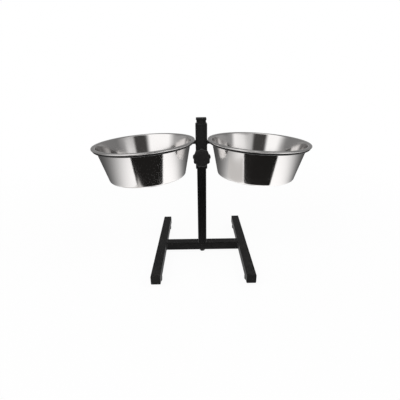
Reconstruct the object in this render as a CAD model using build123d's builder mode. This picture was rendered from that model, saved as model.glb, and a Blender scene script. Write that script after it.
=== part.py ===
from build123d import *
import os
from math import cos, radians, sin, sqrt

# A double feeder: an H base of square tube, a bolted post, a collar that slides on the post and is clamped by
# a fluted knob, and two steel bowls that hang by their rims in wire rings on the collar's sides.
# Millimetres, +Z up, +X to the right, +Y to the back. The origin is on the floor under the post's axis.

# Square tube of the feet, the crossbar and the post
tube_width = 22.0
tube_wall = 1.5
tube_corner = 2.0

# Base: the feet's length includes their end plugs
foot_length = 305.0
foot_spacing = 215.0
weld_leg = 3.0

# Plugs that close the tubes' open ends
plug_flange = 3.0
plug_depth = 14.0
plug_wall = 2.0
plug_edge = 0.8
plug_gap = 0.05

# Rubber feet and their screws
rubber_height = 8.0
rubber_top_dia = 23.0
rubber_base_dia = 22.0
rubber_edge = 1.0
rubber_setback = 27.0
rubber_bore_depth = 4.5
rubber_bore_dia = 9.5
screw_dia = 4.0
screw_head_dia = 8.0
screw_head_height = 2.6
screw_tip_length = 5.0
screw_gap = 0.05

# Post and the bolt that holds it on the crossbar
post_above_collar = 9.0
cap_flange = 3.5
cap_overhang = 1.0
bolt_dia = 8.0
bolt_head_flats = 13.0
bolt_head_height = 5.3
bolt_gap = 0.25
bolt_grip = 20.0
bolt_tip_chamfer = 1.0
washer_dia = 16.0
washer_thickness = 1.6
nut_plug_height = 26.0
nut_plug_chamfer = 0.4

# Sliding collar
slide_gap = 0.5
collar_wall = 2.0
collar_corner = 2.5
collar_length = 104.0
collar_height = 236.0

# Clamp screw in the collar's front: boss, swivel pad, stud and fluted knob
knob_rise = 33.5
boss_dia = 18.0
boss_length = 12.0
boss_chamfer = 1.0
pad_dia = 10.0
pad_length = 2.2
pad_gap = 0.1
pad_travel = 2.5
pad_pivot_dia = 4.0
pad_pivot_length = 1.4
stud_dia = 8.0
stud_gap = 0.05
stud_grip = 13.0
knob_standoff = 3.5
knob_hub_dia = 18.0
knob_hub_length = 7.0
knob_core_dia = 37.0
knob_lobe_dia = 10.0
knob_lobe_count = 9
knob_dia = 40.5
knob_thickness = 14.0
knob_edge = 3.0
knob_valley_radius = 2.5
knob_dimple_dia = 17.0
knob_dimple_depth = 0.8

# Bowls: pressed sheet with a flat flange that ends in a rolled bead
rim_dia = 240.0
bead_dia = 3.5
wall_top_dia = 222.0
bowl_base_dia = 182.5
bowl_depth = 83.0
sheet = 0.8
base_corner = 5.0
lip_corner = 2.0
rim_clearance = 1.6

# Wire rings, which droop outwards a little, and the lugs that carry them on the collar
ring_rise = 63.0
ring_droop_angle = 2.76
wire_dia = 7.0
wire_wall_gap = 0.5
rim_seat_gap = 0.8
lug_width = 18.0
lug_thickness = 6.0
lug_bead_gap = 0.6
lug_seat_gap = 0.05

# How far a cutting body runs past what it cuts
overrun = 5.0

# Sizes that follow from the ones above
tube_bore = tube_width - 2 * tube_wall
bore_corner = max(tube_corner - tube_wall, tube_corner / 4)
tube_axis_height = rubber_height + tube_width / 2
tube_top = rubber_height + tube_width
plug_width = tube_bore - 2 * plug_gap
foot_x = foot_spacing / 2
rubber_y = foot_length / 2 - rubber_setback
post_top = collar_height + collar_length + post_above_collar
post_length = post_top - tube_top
cap_width = tube_width + 2 * cap_overhang
collar_bore = tube_width + 2 * slide_gap
collar_width = collar_bore + 2 * collar_wall
knob_height = collar_height + knob_rise
collar_face = collar_width / 2
pad_front = tube_width / 2 + pad_gap
pad_back = pad_front + pad_length
recess_end = pad_back + pad_travel + pad_gap
boss_end = collar_face + boss_length
hub_back = boss_end + knob_standoff
head_back = hub_back + knob_hub_length
knob_front = head_back + knob_thickness
droop = radians(ring_droop_angle)
rim_radius = rim_dia / 2
rim_height = collar_height + ring_rise
bowl_x = collar_width / 2 + rim_clearance + rim_radius * cos(droop)
wall_run = (wall_top_dia - bowl_base_dia) / 2
wall_rise = bowl_depth - sheet
wall_sheet = sheet * sqrt(wall_run**2 + wall_rise**2) / wall_rise
wire_depth = sheet + rim_seat_gap + wire_dia / 2
wall_radius_at_wire = wall_top_dia / 2 - (wire_depth - sheet) * wall_run / wall_rise
ring_radius = wall_radius_at_wire + wire_wall_gap + wire_dia / 2

os.makedirs("parts", exist_ok=True)


def write(piece, label):
    """Name a finished piece and write its file."""
    piece.part.label = label
    export_step(piece.part, f"parts/{label}.step")


def front_plane(distance):
    """Plane square to the clamp screw, this far in front of the post's axis and facing forwards."""
    return Plane(origin=(0, -distance, knob_height), x_dir=(1, 0, 0), z_dir=(0, -1, 0))


def bowl_plane(side):
    """Section plane through a bowl's axis: local X is the radius, local Y runs up the drooping axis."""
    return Plane(
        origin=(side * bowl_x, 0, rim_height),
        x_dir=(cos(droop), 0, -side * sin(droop)),
        z_dir=(0, -1, 0),
    )


def bowl_axis(side):
    """Axis of a bowl and its ring, tipped outwards by the droop."""
    return Axis((side * bowl_x, 0, rim_height), (side * sin(droop), 0, cos(droop)))


def tube_section():
    """Section of the square tube, with its bore."""
    RectangleRounded(tube_width, tube_width, tube_corner)
    RectangleRounded(tube_bore, tube_bore, bore_corner, mode=Mode.SUBTRACT)


# Feet: two tubes along Y, drilled in their undersides for the rubber feet's screws
for side, hand in ((-1, "left"), (1, "right")):
    with BuildPart() as foot_tube:
        foot_middle = (side * foot_x, 0, tube_axis_height)
        with BuildSketch(Plane(origin=foot_middle, x_dir=(1, 0, 0), z_dir=(0, -1, 0))):
            tube_section()
        extrude(amount=foot_length / 2 - plug_flange, both=True)
        with BuildSketch(Plane.XY.offset(rubber_height - overrun)):
            with Locations((side * foot_x, -rubber_y), (side * foot_x, rubber_y)):
                Circle(screw_dia / 2 + screw_gap)
        extrude(amount=overrun + tube_wall + bore_corner, mode=Mode.SUBTRACT)
    write(foot_tube, f"{hand}_foot_tube")

# Crossbar: butted between the feet and drilled through for the post's bolt
with BuildPart() as cross_tube:
    with BuildSketch(Plane(origin=(0, 0, tube_axis_height), x_dir=(0, 1, 0), z_dir=(1, 0, 0))):
        tube_section()
    extrude(amount=(foot_spacing - tube_width) / 2, both=True)
    with BuildSketch(Plane.XY.offset(rubber_height - overrun)):
        Circle(bolt_dia / 2 + bolt_gap)
    extrude(amount=tube_width + 2 * overrun, mode=Mode.SUBTRACT)
write(cross_tube, "cross_tube")

# Weld beads in the upright corners where the crossbar meets the feet
with BuildPart() as base_welds:
    for side in (-1, 1):
        for face in (-1, 1):
            corner_x = side * (foot_spacing - tube_width) / 2
            corner_y = face * tube_width / 2
            with BuildSketch(Plane.XY.offset(rubber_height + tube_corner)):
                with BuildLine():
                    Polyline(
                        (corner_x, corner_y),
                        (corner_x - side * weld_leg, corner_y),
                        (corner_x, corner_y + face * weld_leg),
                        close=True,
                    )
                make_face()
            extrude(amount=tube_width - 2 * tube_corner)
write(base_welds, "base_welds")

# End plugs of the feet: a square flange over the tube's edge and a hollow stem in its bore
for side, hand in ((-1, "left"), (1, "right")):
    for end, place in ((-1, "front"), (1, "rear")):
        seat = Plane(
            origin=(side * foot_x, end * (foot_length / 2 - plug_flange), tube_axis_height),
            x_dir=(1, 0, 0),
            z_dir=(0, end, 0),
        )
        with BuildPart() as end_plug:
            with BuildSketch(seat):
                RectangleRounded(tube_width, tube_width, tube_corner)
            extrude(amount=plug_flange)
            chamfer(end_plug.faces().sort_by(Axis.Y)[0 if end < 0 else -1].edges(), plug_edge)
            with BuildSketch(seat):
                RectangleRounded(plug_width, plug_width, bore_corner)
                Rectangle(plug_width - 2 * plug_wall, plug_width - 2 * plug_wall, mode=Mode.SUBTRACT)
            extrude(amount=-plug_depth)
        write(end_plug, f"{hand}_{place}_end_plug")

# Rubber feet: tapered pucks with a sunk bore for the screw's head
for side, hand in ((-1, "left"), (1, "right")):
    for end, place in ((-1, "front"), (1, "rear")):
        centre = (side * foot_x, end * rubber_y)
        with BuildPart() as rubber_foot:
            with BuildSketch():
                with Locations(centre):
                    Circle(rubber_base_dia / 2)
            with BuildSketch(Plane.XY.offset(rubber_height)):
                with Locations(centre):
                    Circle(rubber_top_dia / 2)
            loft()
            fillet(rubber_foot.edges().sort_by(Axis.Z)[0], rubber_edge)
            with BuildSketch():
                with Locations(centre):
                    Circle(rubber_bore_dia / 2)
            extrude(amount=rubber_bore_depth, mode=Mode.SUBTRACT)
            with BuildSketch():
                with Locations(centre):
                    Circle(screw_dia / 2 + screw_gap)
            extrude(amount=rubber_height + overrun, mode=Mode.SUBTRACT)
        write(rubber_foot, f"{hand}_{place}_rubber_foot")

# Pan-head screws that hold the rubber feet: the heads sit up in the rubber, clear of the floor
with BuildPart() as rubber_foot_screws:
    screw_places = [(side * foot_x, end * rubber_y) for side in (-1, 1) for end in (-1, 1)]
    with BuildSketch(Plane.XY.offset(rubber_bore_depth)):
        with Locations(screw_places):
            Circle(screw_head_dia / 2)
    extrude(amount=-screw_head_height)
    head_rims = rubber_foot_screws.faces().group_by(Axis.Z)[0].edges()
    fillet(head_rims, screw_head_height / 2)
    with BuildSketch(Plane.XY.offset(rubber_bore_depth)):
        with Locations(screw_places):
            Circle(screw_dia / 2)
    extrude(amount=rubber_height - rubber_bore_depth + tube_wall + screw_tip_length)
write(rubber_foot_screws, "rubber_foot_screws")

# Post: upright tube that stands on the crossbar
with BuildPart() as post_tube:
    with BuildSketch(Plane.XY.offset(tube_top)):
        tube_section()
    extrude(amount=post_length)
write(post_tube, "post_tube")

# Cap that closes the post's top and stops the collar, a little wider than the tube
with BuildPart() as post_cap:
    with BuildSketch(Plane.XY.offset(post_top)):
        RectangleRounded(cap_width, cap_width, tube_corner)
    extrude(amount=cap_flange)
    chamfer(post_cap.faces().sort_by(Axis.Z)[-1].edges(), plug_edge)
    with BuildSketch(Plane.XY.offset(post_top)):
        RectangleRounded(plug_width, plug_width, bore_corner)
        Rectangle(plug_width - 2 * plug_wall, plug_width - 2 * plug_wall, mode=Mode.SUBTRACT)
    extrude(amount=-plug_depth)
write(post_cap, "post_cap")

# Threaded plug, pressed into the post's lower end for the bolt
with BuildPart() as post_nut_plug:
    with BuildSketch(Plane.XY.offset(tube_top)):
        RectangleRounded(plug_width, plug_width, bore_corner)
        Circle(bolt_dia / 2, mode=Mode.SUBTRACT)
    extrude(amount=nut_plug_height)
    top_rim = post_nut_plug.faces().sort_by(Axis.Z)[-1].outer_wire().edges()
    chamfer(top_rim, nut_plug_chamfer)
write(post_nut_plug, "post_nut_plug")

# Washer under the bolt's head
with BuildPart() as post_washer:
    with BuildSketch(Plane.XY.offset(rubber_height)):
        Circle(washer_dia / 2)
        Circle(bolt_dia / 2 + bolt_gap, mode=Mode.SUBTRACT)
    extrude(amount=-washer_thickness)
write(post_washer, "post_washer")

# Hexagon bolt, from under the crossbar up into the post's threaded plug
with BuildPart() as post_bolt:
    with BuildSketch(Plane.XY.offset(rubber_height - washer_thickness)):
        RegularPolygon(bolt_head_flats / 2, 6, major_radius=False)
    extrude(amount=-bolt_head_height)
    with BuildSketch(Plane.XY.offset(rubber_height - washer_thickness)):
        Circle(bolt_dia / 2)
    extrude(amount=washer_thickness + tube_width + bolt_grip)
    chamfer(post_bolt.edges().filter_by(GeomType.CIRCLE).sort_by(Axis.Z)[-1], bolt_tip_chamfer)
write(post_bolt, "post_bolt")

# Collar: a larger square tube that slides on the post, with a window for the clamp pad in its front wall
with BuildPart() as collar:
    with BuildSketch(Plane.XY.offset(collar_height)):
        RectangleRounded(collar_width, collar_width, collar_corner)
        Rectangle(collar_bore, collar_bore, mode=Mode.SUBTRACT)
    extrude(amount=collar_length)
    with BuildSketch(front_plane(0)):
        Circle(pad_dia / 2 + stud_gap)
    extrude(amount=collar_width, mode=Mode.SUBTRACT)
write(collar, "collar")

# Threaded boss, welded on the collar's front round the window
with BuildPart() as knob_boss:
    with BuildSketch(front_plane(collar_face)):
        Circle(boss_dia / 2)
    extrude(amount=boss_length)
    chamfer(knob_boss.edges().sort_by(Axis.Y)[0], boss_chamfer)
    with BuildSketch(front_plane(collar_face)):
        Circle(stud_dia / 2 + stud_gap)
    extrude(amount=boss_length, mode=Mode.SUBTRACT)
    with BuildSketch(front_plane(collar_face)):
        Circle(pad_dia / 2 + stud_gap)
    extrude(amount=recess_end - collar_face, mode=Mode.SUBTRACT)
write(knob_boss, "knob_boss")

# Swivel pad, which the stud presses on the post without turning
with BuildPart() as clamp_pad:
    with BuildSketch(front_plane(pad_front)):
        Circle(pad_dia / 2)
    extrude(amount=pad_length)
    with BuildSketch(front_plane(pad_back)):
        Circle(pad_pivot_dia / 2 + stud_gap)
    extrude(amount=-pad_pivot_length - pad_gap, mode=Mode.SUBTRACT)
write(clamp_pad, "clamp_pad")

# Stud: the clamp screw, with a small pivot at its tip that turns in the pad
with BuildPart() as knob_stud:
    with BuildSketch(front_plane(pad_back + pad_gap)):
        Circle(stud_dia / 2)
    extrude(amount=hub_back + stud_grip - pad_back - pad_gap)
    with BuildSketch(front_plane(pad_back + pad_gap)):
        Circle(pad_pivot_dia / 2)
    extrude(amount=-pad_pivot_length - pad_gap)
write(knob_stud, "knob_stud")

# Knob: a round head with shallow flutes, a hub behind and a dimple in front, moulded on the stud
with BuildPart() as knob_head:
    with BuildSketch(front_plane(head_back)) as star:
        Circle(knob_core_dia / 2)
        with PolarLocations((knob_dia - knob_lobe_dia) / 2, knob_lobe_count, start_angle=90):
            Circle(knob_lobe_dia / 2)
        fillet(star.vertices(), knob_valley_radius)
    extrude(amount=knob_thickness)
    fillet(knob_head.faces().sort_by(Axis.Y)[0].edges(), knob_edge)
    fillet(knob_head.faces().sort_by(Axis.Y)[-1].edges(), knob_edge / 2)
    with BuildSketch(front_plane(head_back)):
        Circle(knob_hub_dia / 2)
    extrude(amount=-knob_hub_length)
    with BuildSketch(front_plane(knob_front)):
        Circle(knob_dimple_dia / 2)
    extrude(amount=-knob_dimple_depth, mode=Mode.SUBTRACT)
    with BuildSketch(front_plane(hub_back)):
        Circle(stud_dia / 2)
    extrude(amount=stud_grip, mode=Mode.SUBTRACT)
write(knob_head, "knob_head")

# Rings: round wire bent to a circle, just under the bowls' flanges
for side, hand in ((-1, "left"), (1, "right")):
    with BuildPart() as ring:
        with BuildSketch(bowl_plane(side)):
            with Locations((ring_radius, -wire_depth)):
                Circle(wire_dia / 2)
        revolve(axis=bowl_axis(side))
    write(ring, f"{hand}_ring")

# Lugs: short blocks on the collar's sides with a saddle that the ring's wire is welded into
for side, hand in ((-1, "left"), (1, "right")):
    lug_top = -bead_dia - lug_bead_gap
    lug_end = -side * ring_radius
    lug_root = -side * (rim_radius + rim_clearance + collar_width / 2)
    with BuildPart() as lug:
        with BuildSketch(bowl_plane(side)):
            with BuildLine():
                Polyline(
                    (lug_root, lug_top),
                    (lug_end, lug_top),
                    (lug_end, lug_top - lug_thickness),
                    (lug_root, lug_top - lug_thickness),
                    close=True,
                )
            make_face()
        extrude(amount=lug_width / 2, both=True)
        with BuildSketch(Plane.XY.offset(collar_height)):
            Rectangle(collar_width, collar_width)
        extrude(amount=collar_length, mode=Mode.SUBTRACT)
        with BuildSketch(bowl_plane(side)):
            with Locations((ring_radius, -wire_depth)):
                Circle(wire_dia / 2 + lug_seat_gap)
        revolve(axis=bowl_axis(side), mode=Mode.SUBTRACT)
    write(lug, f"{hand}_ring_lug")

# Bowls: a flat base, a conical wall and a flange with a rolled bead, hung in the rings by the flange
for side, hand in ((-1, "left"), (1, "right")):
    with BuildPart() as bowl:
        with BuildSketch(bowl_plane(side)):
            with BuildLine():
                outside = FilletPolyline(
                    (0, -bowl_depth),
                    (bowl_base_dia / 2, -bowl_depth),
                    (wall_top_dia / 2, -sheet),
                    (rim_radius - bead_dia / 2, -sheet),
                    radius=(base_corner, lip_corner),
                )
                inside = FilletPolyline(
                    (rim_radius - bead_dia / 2, 0),
                    (wall_top_dia / 2 - wall_sheet + sheet * wall_run / wall_rise, 0),
                    (bowl_base_dia / 2 - wall_sheet + sheet * wall_run / wall_rise, sheet - bowl_depth),
                    (0, sheet - bowl_depth),
                    radius=(lip_corner + sheet, base_corner - sheet),
                )
                Line(outside @ 1, inside @ 0)
                Line(inside @ 1, outside @ 0)
            make_face()
        revolve(axis=bowl_axis(side))
        with BuildSketch(bowl_plane(side)):
            with Locations((rim_radius - bead_dia / 2, -bead_dia / 2)):
                Circle(bead_dia / 2)
        revolve(axis=bowl_axis(side))
    write(bowl, f"{hand}_bowl")
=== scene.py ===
from math import atan2, cos, hypot, pi, radians, sin, sqrt, tan

import bmesh
import bpy
from mathutils import Matrix, Vector


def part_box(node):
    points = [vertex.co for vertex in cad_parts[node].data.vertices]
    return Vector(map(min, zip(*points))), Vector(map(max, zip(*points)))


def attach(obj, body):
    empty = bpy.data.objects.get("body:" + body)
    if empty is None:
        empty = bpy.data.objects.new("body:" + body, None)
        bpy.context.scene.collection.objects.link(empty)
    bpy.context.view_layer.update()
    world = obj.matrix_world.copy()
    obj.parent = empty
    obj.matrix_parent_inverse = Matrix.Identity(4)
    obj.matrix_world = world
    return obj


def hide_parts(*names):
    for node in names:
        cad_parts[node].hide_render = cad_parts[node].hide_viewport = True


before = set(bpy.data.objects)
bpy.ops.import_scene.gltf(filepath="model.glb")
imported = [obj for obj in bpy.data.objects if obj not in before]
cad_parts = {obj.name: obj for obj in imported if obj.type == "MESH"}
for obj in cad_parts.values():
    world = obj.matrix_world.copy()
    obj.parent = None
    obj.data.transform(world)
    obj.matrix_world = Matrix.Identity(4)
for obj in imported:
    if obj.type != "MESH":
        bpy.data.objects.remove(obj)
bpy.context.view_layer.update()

# Feet, crossbar and post: square steel tube with rounded corners. The feet are welded to the crossbar's ends
# and the post is bolted on its middle. All of it is black powder coat with a fine orange peel, dusty where it
# faces up, and the post's front is rubbed by the clamp pad.


class Signal:
    """One shader socket. Sums on it add Math nodes to its tree, and node() adds a node of any other kind."""

    def __init__(self, tree, socket=None):
        self.tree = tree
        self.socket = socket

    def node(self, kind, settings=(), sockets=(), out=0):
        made = self.tree.nodes.new("ShaderNode" + kind)
        for name, value in dict(settings).items():
            if name == "stops":
                for _ in range(len(value) - len(made.color_ramp.elements)):
                    made.color_ramp.elements.new(1)
                for stop, (place, level) in zip(made.color_ramp.elements, value):
                    stop.position = place
                    stop.color = (level, level, level, 1)
            else:
                setattr(made, name, value)
        for name, value in dict(sockets).items():
            if isinstance(value, Signal):
                self.tree.links.new(value.socket, made.inputs[name])
            else:
                made.inputs[name].default_value = value
        return Signal(self.tree, made.outputs[out] if made.outputs else None)

    def maths(self, operation, *values):
        return self.node("Math", {"operation": operation}, dict(enumerate(values)))

    def __add__(self, other):
        return self.maths("ADD", self, other)

    def __sub__(self, other):
        return self.maths("SUBTRACT", self, other)

    def __rsub__(self, other):
        return self.maths("SUBTRACT", other, self)

    def __mul__(self, other):
        return self.maths("MULTIPLY", self, other)

    def __truediv__(self, other):
        return self.maths("DIVIDE", self, other)

    def __rtruediv__(self, other):
        return self.maths("DIVIDE", other, self)

    def __pow__(self, other):
        return self.maths("POWER", self, other)

    __radd__ = __add__
    __rmul__ = __mul__

    def step(self, low, high):
        """0 below low and 1 above high, with a soft change between them."""
        ramp = {"interpolation_type": "SMOOTHSTEP", "clamp": True}
        return self.node("MapRange", ramp, {"Value": self, "From Min": low, "From Max": high})

    def colour(self, low, high):
        """Blend of two colours by this value."""
        return self.node("Mix", {"data_type": "RGBA"}, {0: self, 6: low, 7: high}, out=2)

    def noise(self, where, scale, detail=2.0):
        """Noise about 0.5, with so many grains to the metre."""
        return self.node("TexNoise", sockets={"Vector": where, "Scale": scale, "Detail": detail})

    def axes(self, where):
        """The three coordinates of a vector."""
        return [self.node("SeparateXYZ", sockets={0: where}, out=axis) for axis in range(3)]


def grey(value, warm=0.0):
    """Neutral colour, a little warmer where asked."""
    return (value * (1 + warm), value, value * (1 - warm), 1)


def finish(name, surface):
    """Material whose shader is built by a function of an empty Signal."""
    material = bpy.data.materials.new(name)
    material.use_nodes = True
    material.node_tree.nodes.clear()
    start = Signal(material.node_tree)
    start.node("OutputMaterial", sockets={"Surface": surface(start)})
    return material


def dress(material, *nodes):
    """Give CAD nodes a finish."""
    for node in nodes:
        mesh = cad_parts[node].data
        mesh.materials.clear()
        mesh.materials.append(material)


post_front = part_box("post_tube")[0][1]
rub_half_width = 0.0045
rub_skin = 0.0003


def powder_coat_surface(start):
    place = start.node("TexCoord", out="Object")
    facing = start.axes(start.node("NewGeometry", out="Normal"))[2]
    x, y, z = start.axes(place)
    peel = start.noise(place, 620, 3)
    grain = start.noise(place, 2600, 2)
    cloud = start.noise(place, 22, 4)
    dust = facing.step(0.55, 0.95) * cloud.step(0.35, 0.75)
    on_front = 1 - y.step(post_front, post_front + rub_skin)
    rub = on_front * (1 - x.maths("ABSOLUTE", x).step(rub_half_width * 0.6, rub_half_width))
    streak = start.noise(start.node("CombineXYZ", sockets={0: x * 40, 2: z}), 38, 3)
    rub = rub * streak.step(0.42, 0.66)
    paint = (grain * 0.6 + cloud * 0.4).colour(grey(0.0022, 0.05), grey(0.0050, 0.05))
    paint = (dust * 0.25).colour(paint, grey(0.035, 0.04))
    bump = start.node("Bump", sockets={"Height": peel + grain * 0.25, "Strength": 0.22, "Distance": 0.0006})
    return start.node("BsdfPrincipled", sockets={
        "Base Color": (rub * 0.3).colour(paint, grey(0.02, 0.03)),
        "Roughness": 0.26 + grain * 0.10 + cloud * 0.08 + dust * 0.12 - rub * 0.06,
        "Normal": bump,
        "Specular IOR Level": 0.3,
    })


powder_coat = finish("powder_coat", powder_coat_surface)
dress(powder_coat, "left_foot_tube", "right_foot_tube", "cross_tube", "post_tube")

# Welds of the base: a short run of weld metal up each corner between the crossbar and a foot, laid by hand
# in small overlapping pools, and coated with the tubes.


def turns(count):
    """Evenly spaced angles round a circle."""
    return [2 * pi * k / count for k in range(count)]


def line(start, end, count):
    """Evenly spaced points from one place to another."""
    return [Vector(start).lerp(Vector(end), k / (count - 1)) for k in range(count)]


def add_loops(builder, loops, closed=False):
    """Skin over loops of points. All loops have the same count, but for single points, which close an end."""
    rings = [[builder.verts.new(point) for point in loop] for loop in loops]
    pairs = list(zip(rings, rings[1:]))
    if closed:
        pairs.append((rings[-1], rings[0]))
    for low, high in pairs:
        for k in range(max(len(low), len(high))):
            after = k + 1
            corners = [low[k % len(low)], low[after % len(low)], high[after % len(high)], high[k % len(high)]]
            builder.faces.new(list(dict.fromkeys(corners)))


def add_bead(builder, path, radius, pool=0.0016, sides=12):
    """Weld bead along a path of points: a round section that swells at each pool and tapers at both ends."""
    end_taper = (0.55, 0.85, 1.0)
    travelled = 0.0
    loops = [[path[0]]]
    for index, point in enumerate(path):
        before = path[max(index - 1, 0)]
        after = path[min(index + 1, len(path) - 1)]
        along = (after - before).normalized()
        across = along.orthogonal().normalized()
        up = along.cross(across)
        travelled += (point - before).length
        from_end = min(index, len(path) - 1 - index, len(end_taper) - 1)
        swell = radius * (0.90 + 0.14 * abs(sin(pi * travelled / pool))) * end_taper[from_end]
        loops.append([point + swell * (cos(a) * across + sin(a) * up) for a in turns(sides)])
    loops.append([path[-1]])
    add_loops(builder, loops)


sharp_angle = radians(38)


def new_piece(name, builder, material, body, place=Matrix()):
    """Object from a finished bmesh, smooth but for its sharp edges, that rides on a body."""
    mesh = bpy.data.meshes.new(name)
    bmesh.ops.recalc_face_normals(builder, faces=builder.faces)
    builder.to_mesh(mesh)
    builder.free()
    mesh.materials.append(material)
    mesh.shade_smooth()
    mesh.set_sharp_from_angle(angle=sharp_angle)
    piece = bpy.data.objects.new(name, mesh)
    piece.matrix_world = place
    bpy.context.scene.collection.objects.link(piece)
    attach(piece, body)
    return piece


weld_low, weld_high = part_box("base_welds")
cross_low, cross_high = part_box("cross_tube")
base_weld_radius = 0.0026
base_weld_points = 41
builder = bmesh.new()
for corner_x in (cross_low[0], cross_high[0]):
    for corner_y in (cross_low[1], cross_high[1]):
        run = line((corner_x, corner_y, weld_low[2]), (corner_x, corner_y, weld_high[2]), base_weld_points)
        add_bead(builder, run, base_weld_radius)
base_weld_beads = new_piece("base_weld_beads", builder, powder_coat, "stand")
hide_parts("base_welds")

# End plugs and post cap: black polyethylene mouldings with a spark-eroded skin. Their hollow stems are tapped
# into the open tubes and hold by friction. The cap is wider than the post, so it stops the collar.


def plug_surface(start):
    place = start.node("TexCoord", out="Object")
    skin = start.noise(place, 1900, 3)
    flow = start.noise(place, 45, 3)
    bump = start.node("Bump", sockets={"Height": skin, "Strength": 0.3, "Distance": 0.0003})
    return start.node("BsdfPrincipled", sockets={
        "Base Color": (skin * 0.4 + flow * 0.6).colour(grey(0.003, 0.04), grey(0.008, 0.04)),
        "Roughness": 0.36 + skin * 0.18 + flow * 0.08,
        "Normal": bump,
        "Specular IOR Level": 0.25,
    })


plug_plastic = finish("plug_plastic", plug_surface)
feet_ends = [f"{hand}_{place}" for hand in ("left", "right") for place in ("front", "rear")]
dress(plug_plastic, "post_cap", *(f"{end}_end_plug" for end in feet_ends))

# Rubber feet: tapered pucks of black rubber with a grey bloom, scuffed where they meet the floor. They are
# moulded with a sunk bore and screwed under the ends of the feet.


def rubber_surface(start):
    place = start.node("TexCoord", out="Object")
    height = start.axes(place)[2]
    bloom = start.noise(place, 160, 4)
    pores = start.noise(place, 3200, 2)
    scuff = (1 - height.step(0.0008, 0.003)) * bloom.step(0.35, 0.65)
    bump = start.node("Bump", sockets={"Height": pores, "Strength": 0.25, "Distance": 0.0003})
    return start.node("BsdfPrincipled", sockets={
        "Base Color": scuff.colour(bloom.colour(grey(0.008), grey(0.018)), grey(0.05, 0.04)),
        "Roughness": 0.68 + bloom * 0.2,
        "Normal": bump,
        "Specular IOR Level": 0.25,
    })


rubber = finish("rubber", rubber_surface)
dress(rubber, *(f"{end}_rubber_foot" for end in feet_ends))

# Screws of the rubber feet: zinc-plated pan heads with a cross recess, sunk in the rubber, with the thread
# cut into the tube's underside. The plating has a fine crystal mottle.


def zinc_surface(start, dark=(0.36, 0.37, 0.38, 1), bright=(0.56, 0.57, 0.58, 1)):
    place = start.node("TexCoord", out="Object")
    crystals = start.node("TexVoronoi", sockets={"Vector": place, "Scale": 900}, out="Color")
    tone = start.axes(crystals)[0]
    haze = start.noise(place, 260, 3)
    return start.node("BsdfPrincipled", sockets={
        "Base Color": (tone * 0.5 + haze * 0.5).colour(dark, bright),
        "Metallic": 1.0,
        "Roughness": 0.26 + tone * 0.10 + haze * 0.12,
    })


def circle(radius, height, count):
    """Level loop of points about the local Z axis, or the one point on it where the radius is nil."""
    return [Vector((radius * cos(a), radius * sin(a), height)) for a in turns(count if radius else 1)]


def add_thread(builder, radius, low, high, pitch, depth, count=32, layers_a_turn=8):
    """Threaded rod between two heights on the local Z axis: a V-shaped helix with narrow crests and roots."""
    layers = int(round((high - low) / pitch * layers_a_turn))
    loops = [circle(0, low, count)]
    for layer in range(layers + 1):
        height = low + (high - low) * layer / layers
        run_out = min(1.0, (height - low) / pitch, (high - height) / pitch)
        loop = []
        for k, a in enumerate(turns(count)):
            turn = (height - low) / pitch - k / count
            wave = abs(2 * (turn - turn // 1) - 1)
            cut = depth * min(max(1.5 * wave - 0.25, 0.0), 1.0)
            reach = radius - max(cut, depth * (1 - run_out))
            loop.append(Vector((reach * cos(a), reach * sin(a), height)))
        loops.append(loop)
    add_loops(builder, loops + [circle(0, high, count)])


zinc_steel = finish("zinc_steel", zinc_surface)
screw_low, screw_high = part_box("rubber_foot_screws")
screw_head_radius = 0.004
screw_head_height = 0.0026
screw_crown = 0.0009
screw_radius = 0.002
screw_pitch = 0.0007
screw_thread_sides = 20
screw_thread_depth = 0.0004
head_rings = 20
head_sides = 64
recess_half_width = 0.0006
recess_half_length = 0.0022
recess_depth = 0.0014
recess_taper = 0.0003


def recess_share(x, y):
    """1 inside the cross recess and 0 outside, with sloping walls."""
    arms = []
    for along, across in ((x, y), (y, x)):
        inside = min(recess_half_width - abs(across), recess_half_length - abs(along)) / recess_taper
        arms.append(min(max(inside + 0.5, 0.0), 1.0))
    return max(arms)


builder = bmesh.new()
for screw_x in (screw_low[0] + screw_head_radius, screw_high[0] - screw_head_radius):
    for screw_y in (screw_low[1] + screw_head_radius, screw_high[1] - screw_head_radius):
        made = set(builder.verts)
        face_loops = []
        for ring in range(head_rings + 1):
            loop = circle(screw_head_radius * ring / head_rings, 0, head_sides)
            for point in loop:
                crown = screw_crown * (ring / head_rings)**4
                point.z = crown + recess_depth * recess_share(point.x, point.y)
            face_loops.append(loop)
        back = [circle(radius, screw_head_height, head_sides) for radius in (screw_head_radius, 0)]
        add_loops(builder, face_loops + back)
        shank = (screw_radius, screw_head_height, screw_high[2] - screw_low[2])
        add_thread(builder, *shank, screw_pitch, screw_thread_depth, screw_thread_sides)
        fresh = [vertex for vertex in builder.verts if vertex not in made]
        bmesh.ops.translate(builder, verts=fresh, vec=(screw_x, screw_y, screw_low[2]))
cross_screws = new_piece("cross_screws", builder, zinc_steel, "stand")
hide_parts("rubber_foot_screws")

# Post fixing: an M8 hexagon bolt with a chamfered head and a washer, up through the crossbar into a threaded
# plug that is pressed into the post's lower end. All three are zinc plated. The bolt and washer are coloured
# near black as painted shade, for the shade they sit in under the crossbar.
# Painted shade: a near-black zinc colour for the bolt and washer, standing in for the shade under the
# crossbar.
shade_painted_zinc = finish("shade_painted_zinc", lambda start: zinc_surface(start, grey(0.012), grey(0.03)))
dress(zinc_steel, "post_nut_plug")
dress(shade_painted_zinc, "post_washer")

bolt_low, bolt_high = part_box("post_bolt")
bolt_radius = 0.004
bolt_flats = bolt_high[1] - bolt_low[1]
bolt_head_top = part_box("post_washer")[0][2]
bolt_pitch = 0.00125
bolt_thread_depth = 0.0007
bolt_thread_lead = 0.002
bolt_sides = 72
bolt_face_share = 0.47
bolt_face_radius = bolt_flats * bolt_face_share
bolt_face_slope = tan(radians(30))
thread_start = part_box("post_tube")[0][2] - bolt_thread_lead


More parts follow.
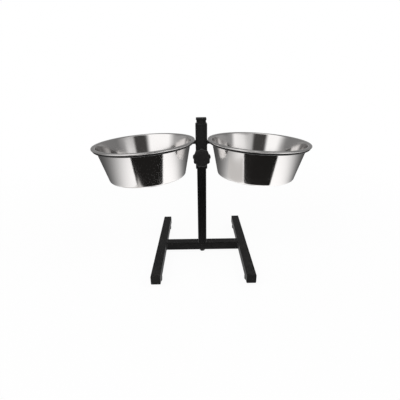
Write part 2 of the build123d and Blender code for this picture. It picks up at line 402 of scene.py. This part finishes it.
def hexagon(height_at):
    """Loop round the bolt's hexagon, with corners along X, at heights given by the distance from the axis."""
    loop = []
    for a in turns(bolt_sides):
        off_flat = (a - radians(30)) % radians(60)
        reach = bolt_flats / 2 / cos(min(off_flat, radians(60) - off_flat))
        loop.append(Vector((reach * cos(a), reach * sin(a), height_at(reach))))
    return loop


builder = bmesh.new()
add_loops(builder, [
    circle(0, bolt_low[2], bolt_sides),
    circle(bolt_face_radius, bolt_low[2], bolt_sides),
    hexagon(lambda reach: bolt_low[2] + (reach - bolt_face_radius) * bolt_face_slope),
    hexagon(lambda reach: bolt_head_top),
    circle(bolt_radius, bolt_head_top, bolt_sides),
    circle(bolt_radius, thread_start, bolt_sides),
    circle(0, thread_start, bolt_sides),
])
add_thread(builder, bolt_radius, thread_start, bolt_high[2], bolt_pitch, bolt_thread_depth)
# The bolt takes the near-black zinc colour, which is painted shade.
hexagon_bolt = new_piece("hexagon_bolt", builder, shade_painted_zinc, "stand")
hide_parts("post_bolt")

# Collar: a larger square tube that slides on the post, with a threaded boss welded on its front and a lug for
# each ring on its sides. The welds are small runs, and all of it is coated as one.
dress(powder_coat, "collar", "knob_boss", "left_ring_lug", "right_ring_lug")

boss_low, boss_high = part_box("knob_boss")
boss_radius = (boss_high[0] - boss_low[0]) / 2
boss_centre = Vector((0, boss_high[1], (boss_low[2] + boss_high[2]) / 2))
boss_weld_radius = 0.0016
boss_weld_pool = 0.0018
boss_weld_points = 160
builder = bmesh.new()
boss_angles = turns(boss_weld_points) + [2 * pi]
boss_run = [boss_centre + boss_radius * Vector((cos(a), 0, sin(a))) for a in boss_angles]
add_bead(builder, boss_run, boss_weld_radius, boss_weld_pool)
collar_welds = [new_piece("boss_weld", builder, powder_coat, "collar")]

lug_weld_radius = 0.0013
lug_weld_points = 45
for hand, side in (("left", -1), ("right", 1)):
    lug_low, lug_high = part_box(f"{hand}_ring_lug")
    collar_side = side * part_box("collar")[1][0]
    lower_ends = [(collar_side, lug_end[1], lug_low[2]) for lug_end in (lug_low, lug_high)]
    lower_edge = line(*lower_ends, lug_weld_points)
    builder = bmesh.new()
    add_bead(builder, lower_edge, lug_weld_radius)
    collar_welds.append(new_piece(f"{hand}_lug_weld", builder, powder_coat, "collar"))

# Clamp pad: a turned brass disc, tarnished and finely scratched. It swivels on the stud's tip and presses on
# the post through a window in the collar's front.


def brass_surface(start):
    place = start.node("TexCoord", out="Object")
    tarnish = start.noise(place, 420, 4)
    scratches = start.noise(place, 2800, 2)
    bump = start.node("Bump", sockets={"Height": scratches, "Strength": 0.15, "Distance": 0.0002})
    return start.node("BsdfPrincipled", sockets={
        "Base Color": tarnish.colour((0.42, 0.27, 0.08, 1), (0.66, 0.46, 0.17, 1)),
        "Metallic": 1.0,
        "Roughness": 0.28 + tarnish * 0.2,
        "Normal": bump,
    })


brass = finish("brass", brass_surface)
dress(brass, "clamp_pad")

# Stud: an M8 rod of zinc-plated steel with a small pivot turned on its tip. It is moulded into the knob and
# screws through the boss.
stud_low, stud_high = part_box("knob_stud")
stud_radius = (stud_high[0] - stud_low[0]) / 2
stud_length = stud_high[1] - stud_low[1]
stud_pitch = 0.00125
stud_thread_depth = 0.00065
pivot_radius = 0.002
pivot_length = 0.0015
pivot_bevel = 0.0003
pivot_sides = 32
forwards = Matrix.Rotation(radians(90), 4, "X")
stud_place = Matrix.Translation((0, stud_high[1], (stud_low[2] + stud_high[2]) / 2)) @ forwards
builder = bmesh.new()
add_thread(builder, stud_radius, pivot_length, stud_length, stud_pitch, stud_thread_depth)
add_loops(builder, [
    circle(0, 0, pivot_sides),
    circle(pivot_radius - pivot_bevel, 0, pivot_sides),
    circle(pivot_radius, pivot_bevel, pivot_sides),
    circle(pivot_radius, pivot_length, pivot_sides),
    circle(0, pivot_length, pivot_sides),
])
threaded_stud = new_piece("threaded_stud", builder, zinc_steel, "knob", stud_place)
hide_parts("knob_stud")

# Knob: a round black nylon moulding with shallow flutes, satin, a little polished by fingers. Its hub is
# moulded round the outer end of the stud.


def knob_surface(start):
    place = start.node("TexCoord", out="Object")
    skin = start.noise(place, 2400, 2)
    touch = start.noise(place, 70, 3)
    bump = start.node("Bump", sockets={"Height": skin, "Strength": 0.18, "Distance": 0.0003})
    return start.node("BsdfPrincipled", sockets={
        "Base Color": (skin * 0.5 + touch * 0.5).colour(grey(0.006, 0.04), grey(0.014, 0.04)),
        "Roughness": 0.34 + skin * 0.12 + touch * 0.14,
        "Normal": bump,
        "Specular IOR Level": 0.22,
    })


knob_plastic = finish("knob_plastic", knob_surface)
dress(knob_plastic, "knob_head")

# Rings: round wire bent to a circle that fits under the bowls' flanges, welded into the lugs' saddles and
# coated with the collar. They tip outwards a little with the bowls.
droop = radians(2.76)
rim_radius = 0.120
rim_height = 0.2990
rim_clearance = 0.0016
sheet = 0.0008
bowl_depth = 0.083
wall_top = 0.111
base_radius = 0.09125
wall_lean = (wall_top - base_radius) / (bowl_depth - sheet)
wire_radius = 0.0035
rim_seat_gap = 0.0008
wire_wall_gap = 0.0005
wire_sides = 24
ring_sides = 240
wire_depth = sheet + rim_seat_gap + wire_radius
ring_radius = wall_top - (wire_depth - sheet) * wall_lean + wire_wall_gap + wire_radius
bowl_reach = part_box("collar")[1][0] + rim_clearance + rim_radius * cos(droop)


def bowl_place(side):
    """Frame of a bowl: origin in the middle of its rim, local Z along its axis, which tips outwards."""
    return Matrix.Translation((side * bowl_reach, 0, rim_height)) @ Matrix.Rotation(side * droop, 4, "Y")


for hand, side in (("left", -1), ("right", 1)):
    builder = bmesh.new()
    wire_loops = [
        circle(ring_radius + wire_radius * cos(a), wire_radius * sin(a) - wire_depth, ring_sides)
        for a in turns(wire_sides)
    ]
    add_loops(builder, wire_loops, closed=True)
    place = bowl_place(side)
    wire_ring = new_piece(f"{hand}_wire_ring", builder, powder_coat, "collar", place)
    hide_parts(f"{hand}_ring")

# Bowls: pressed from stainless sheet, with a conical wall, a flat flange and an edge rolled under into a
# bead. The steel is polished on a spindle, which leaves faint rings. They hang in the rings by the flange.
base_corner = 0.005
lip_corner = 0.002
bead_radius = 0.00175
bead_steps = 30
bowl_sides = 288
longest_run = 0.006


def rounded(points, radii, steps):
    """Outline with its inner corners rounded, each by its own radius and in so many steps."""
    points = [Vector(point) for point in points]
    places = [points[0]]
    for before, corner, after, radius, count in zip(points, points[1:], points[2:], radii, steps):
        back = (before - corner).normalized()
        ahead = (after - corner).normalized()
        half = back.angle(ahead) / 2
        centre = corner + (back + ahead).normalized() * radius / sin(half)
        first = corner + back * radius / tan(half) - centre
        last = corner + ahead * radius / tan(half) - centre
        turn = first.angle_signed(last)
        places += [centre + Matrix.Rotation(-turn * k / count, 2) @ first for k in range(count + 1)]
    return places + [points[-1]]


def divided(points, longest):
    """The same outline with no run longer than this."""
    places = [points[0]]
    for start, end in zip(points, points[1:]):
        count = max(1, int((end - start).length / longest + 0.999))
        places += [start.lerp(end, k / count) for k in range(1, count + 1)]
    return places


def bowl_profile():
    """Section of the sheet: along the inside, over the flange, round the bead and back down the outside."""
    inset = sheet * (hypot(wall_lean, 1) - wall_lean)
    bottom_height = sheet - bowl_depth
    bead_centre = Vector((rim_radius - bead_radius, -bead_radius))
    inside = rounded(
        [(0, bottom_height), (base_radius - inset, bottom_height), (wall_top - inset, 0), (bead_centre.x, 0)],
        [base_corner - sheet, lip_corner + sheet],
        [14, 10],
    )
    under = bead_radius - sheet
    sweep = 3 / 2 * pi + atan2(under, sqrt(bead_radius**2 - under**2))
    bead_angles = [pi / 2 - sweep * k / bead_steps for k in range(1, bead_steps + 1)]
    bead = [bead_centre + bead_radius * Vector((cos(a), sin(a))) for a in bead_angles]
    outside = rounded(
        [bead[-1], (wall_top, -sheet), (base_radius, -bowl_depth), (0, -bowl_depth)],
        [lip_corner, base_corner],
        [8, 16],
    )
    return divided(inside + bead + outside[1:], longest_run)


def steel_surface(start):
    place = start.node("TexCoord", out="Object")
    x, y, z = start.axes(place)
    radius = (x * x + y * y) ** 0.5
    angle = y.maths("ARCTAN2", y, x)
    turned = start.node("CombineXYZ", sockets={0: radius, 1: z, 2: angle * 0.0004})
    rings = start.noise(turned, 2600, 3)
    broad = start.noise(turned, 260, 2)
    smear = start.noise(place, 26, 4)
    marks = rings * 0.7 + broad * 0.6
    bump = start.node("Bump", sockets={"Height": marks, "Strength": 0.05, "Distance": 0.0003})
    return start.node("BsdfPrincipled", sockets={
        "Base Color": (rings * 0.4 + smear * 0.6).colour((0.665, 0.645, 0.635, 1), (0.735, 0.72, 0.71, 1)),
        "Metallic": 1.0,
        "Roughness": 0.07 + rings * 0.04 + smear * 0.04,
        "Normal": bump,
        "Anisotropic": 0.6,
        "Anisotropic Rotation": 0.25,
    })


bowl_steel = finish("bowl_steel", steel_surface)
for hand, side in (("left", -1), ("right", 1)):
    builder = bmesh.new()
    add_loops(builder, [circle(max(point.x, 0), point.y, bowl_sides) for point in bowl_profile()])
    body = f"{hand}_bowl"
    place = bowl_place(side)
    pressed_bowl = new_piece(f"{hand}_pressed_bowl", builder, bowl_steel, body, place)
    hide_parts(body)

# Stage: a white sheet lit from below as the floor. Mirrored rays see a grey card and the feet's shade on it,
# and through it a glowing sheet that fades outwards, a black card and a dark panel behind the camera. The
# post, the collar and the feet aren't mirrored in the bowls, as in the photograph.
white_level = 1.38
sheet_half_width = 4.0
floor_height = -0.0003
glow_height = -0.32
glow_middle = (0.15, -0.35)
glow_radius = 1.06


def flat_panel(name, corners, surface):
    """Single flat face for the stage."""
    mesh = bpy.data.meshes.new(name)
    mesh.from_pydata(corners, [], [tuple(range(len(corners)))])
    mesh.materials.append(finish(name, surface))
    panel = bpy.data.objects.new(name, mesh)
    bpy.context.scene.collection.objects.link(panel)
    return panel


def level_square(height):
    """Corners of a wide level sheet about the origin."""
    signs = ((-1, -1), (1, -1), (1, 1), (-1, 1))
    return [(sheet_half_width * u, sheet_half_width * v, height) for u, v in signs]


def upright(left, right, low, high):
    """Corners of an upright panel between two places in plan and two heights."""
    return [(*left, low), (*right, low), (*right, high), (*left, high)]


def floor_surface(start):
    to_camera = start.node("LightPath", out="Is Camera Ray")
    to_gloss = start.node("LightPath", out="Is Glossy Ray")
    x, y, z = start.axes(start.node("TexCoord", out="Object"))
    far = ((x * x + y * y) ** 0.5).step(0.35, 1.3)
    paper = start.node("BsdfDiffuse", sockets={"Color": grey(0.86)})
    backlight = start.node("Emission", sockets={"Color": grey(1.0)})
    sheet_seen = start.node("MixShader", sockets={0: to_camera * (0.95 + 0.05 * far), 1: paper, 2: backlight})
    card_across = x + 0.70 * y
    card_front = x - 1.3 * y
    card_back = y - 0.9 * x
    grey_card = card_across.step(-0.47, -0.43) * (1 - card_across.step(-0.28, -0.24))
    grey_card = grey_card * (1 - card_front.step(0.20, 0.23)) * (1 - card_back.step(0.30, 0.34))
    card_glow = start.node("Emission", sockets={"Color": grey(0.73, 0.02)})
    below = start.node("BsdfTransparent")
    mirrored = start.node("MixShader", sockets={0: grey_card, 1: below, 2: card_glow})
    off_middle = x.maths("ABSOLUTE", x)
    beside_feet = off_middle.step(0.05, 0.08) * (1 - off_middle.step(0.10, 0.13))
    beside_feet = beside_feet * (1 - y.maths("ABSOLUTE", y).step(0.11, 0.16))
    contact_shade = start.node("Emission", sockets={"Color": grey(0.40)})
    mirrored = start.node("MixShader", sockets={0: beside_feet, 1: mirrored, 2: contact_shade})
    return start.node("MixShader", sockets={0: to_gloss, 1: sheet_seen, 2: mirrored})


def glow_surface(start):
    x, y, z = start.axes(start.node("TexCoord", out="Object"))
    from_middle_x = x - glow_middle[0]
    from_middle_y = y - glow_middle[1]
    away = (from_middle_x * from_middle_x + from_middle_y * from_middle_y) ** 0.5
    fade = 1 / (1 + (away / glow_radius) ** 6) + 0.05
    return start.node("Emission", sockets={"Color": white_level * fade})


def black_surface(start):
    return start.node("Emission", sockets={"Color": grey(0.015, 0.05)})


def figure_surface(start):
    x, y, z = start.axes(start.node("TexCoord", out="Object"))
    solid = x.step(-0.22, -0.09) * (1 - x.step(0.14, 0.24))
    shade = start.node("Emission", sockets={"Color": grey(0.066, 0.03)})
    return start.node("MixShader", sockets={0: solid, 1: start.node("BsdfTransparent"), 2: shade})


flat_panel("floor", level_square(floor_height), floor_surface)
black_card_corners = upright((-0.336, -0.4633), (0.406, -0.388), -0.42, 0.22)
dark_figure_corners = upright((-0.23, -0.405), (0.25, -0.405), 0.32, 0.65)
mirrored_panels = [
    flat_panel("glow_sheet", level_square(glow_height), glow_surface),
    flat_panel("black_card", black_card_corners, black_surface),
    flat_panel("dark_figure", dark_figure_corners, figure_surface),
]
unmirrored = [
    "cross_tube", "post_tube", "post_cap", "post_nut_plug", "collar", "knob_boss", "clamp_pad", "knob_head",
]
for hand in ("left", "right"):
    for name in ("foot_tube", "front_end_plug", "front_rubber_foot", "ring_lug"):
        unmirrored.append(f"{hand}_{name}")
for piece in [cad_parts[node] for node in unmirrored] + collar_welds + [threaded_stud]:
    piece.visible_glossy = False
for panel in mirrored_panels:
    panel.visible_camera = False
    panel.visible_diffuse = False
    panel.visible_shadow = False
    panel.visible_transmission = False

# Light: a plain white room with a large soft lamp from above on each side. The steel mirrors a studio that is
# bright to the front left and front right and dim at the sides and the back.
world = bpy.data.worlds.new("studio")
world.use_nodes = True
world.node_tree.nodes.clear()
sky = Signal(world.node_tree)
x, y, z = sky.axes(sky.node("TexCoord", out="Generated"))
bearing = x.maths("ARCTAN2", x, -1 * y) / (2 * pi) + 0.5


def walls(levels):
    """Brightness round the room from bearings in degrees, 0 to the front and positive to the right."""
    stops = [((angle + 180) / 360, level) for angle, level in levels]
    return sky.node("ValToRGB", {"stops": stops}, {"Fac": bearing})


level_walls = walls([
    (-180, 0.27), (-125, 0.28), (-100, 0.31), (-80, 0.40), (-62, 0.92), (0, 1.0), (57, 0.80), (68, 0.29),
    (180, 0.27),
])
low_walls = walls([
    (-180, 0.19), (-90, 0.19), (-78, 0.36), (-60, 1.0), (0, 1.0), (10, 0.50), (30, 0.86), (56, 0.93),
    (66, 0.30), (84, 0.17), (180, 0.19),
])
high_walls = walls([
    (-180, 0.20), (-100, 0.17), (-86, 0.26), (-66, 0.98), (-5, 1.0), (8, 0.50), (25, 0.32), (50, 0.50),
    (62, 0.37), (84, 0.16), (180, 0.20),
])
room = z.step(0.10, 0.17).colour(level_walls, z.step(0.24, 0.32).colour(low_walls, high_walls))
room = room.node("VectorMath", {"operation": "SCALE"}, {0: room, "Scale": white_level})
to_camera = sky.node("LightPath", out="Is Camera Ray")
to_gloss = sky.node("LightPath", out="Is Glossy Ray")
filled = to_gloss.colour(grey(0.55), room)
backdrop = sky.node("Background", sockets={"Color": to_camera.colour(filled, grey(1.0)), "Strength": 1.0})
sky.node("OutputWorld", sockets={"Surface": backdrop})
bpy.context.scene.world = world


def soft_lamp(name, place, target, size, watts):
    """Square area lamp that faces a point and isn't mirrored in the steel."""
    data = bpy.data.lights.new(name, "AREA")
    data.shape = "SQUARE"
    data.size = size
    data.energy = watts
    lamp = bpy.data.objects.new(name, data)
    lamp.location = place
    lamp.rotation_euler = (Vector(target) - Vector(place)).to_track_quat("-Z", "Y").to_euler()
    lamp.visible_glossy = False
    bpy.context.scene.collection.objects.link(lamp)


lamp_target = (0, 0, 0.15)
soft_lamp("left_lamp", (-1.0, -0.9, 1.5), lamp_target, 1.2, 14)
soft_lamp("right_lamp", (1.1, -0.5, 1.6), lamp_target, 1.2, 10)

# Camera: where the photograph was taken from, a little above the bowls and in front of them. Its place, its
# angles and its lens were fitted to the edges of the feet, the post and the bowls.
focal_pixels = 282.110
image_pixels = 400
pitch = radians(22.667)
yaw = radians(0.374)
roll = radians(0.710)
camera_place = (-0.009154, -0.665469, 0.427205)
forward = Vector((sin(yaw) * cos(pitch), cos(yaw) * cos(pitch), -sin(pitch)))
level = Vector((cos(yaw), -sin(yaw), 0))
down = forward.cross(level)
right = cos(roll) * level + sin(roll) * down
below = cos(roll) * down - sin(roll) * level
lens = bpy.data.cameras.new("camera")
lens.sensor_width = 36
lens.lens = focal_pixels / image_pixels * lens.sensor_width
lens.clip_start = 0.01
camera = bpy.data.objects.new("camera", lens)
bpy.context.scene.collection.objects.link(camera)
turn = Matrix((right, -below, -forward)).transposed().to_4x4()
camera.matrix_world = Matrix.Translation(camera_place) @ turn
bpy.context.scene.camera = camera
bpy.context.scene.view_settings.view_transform = "Standard"
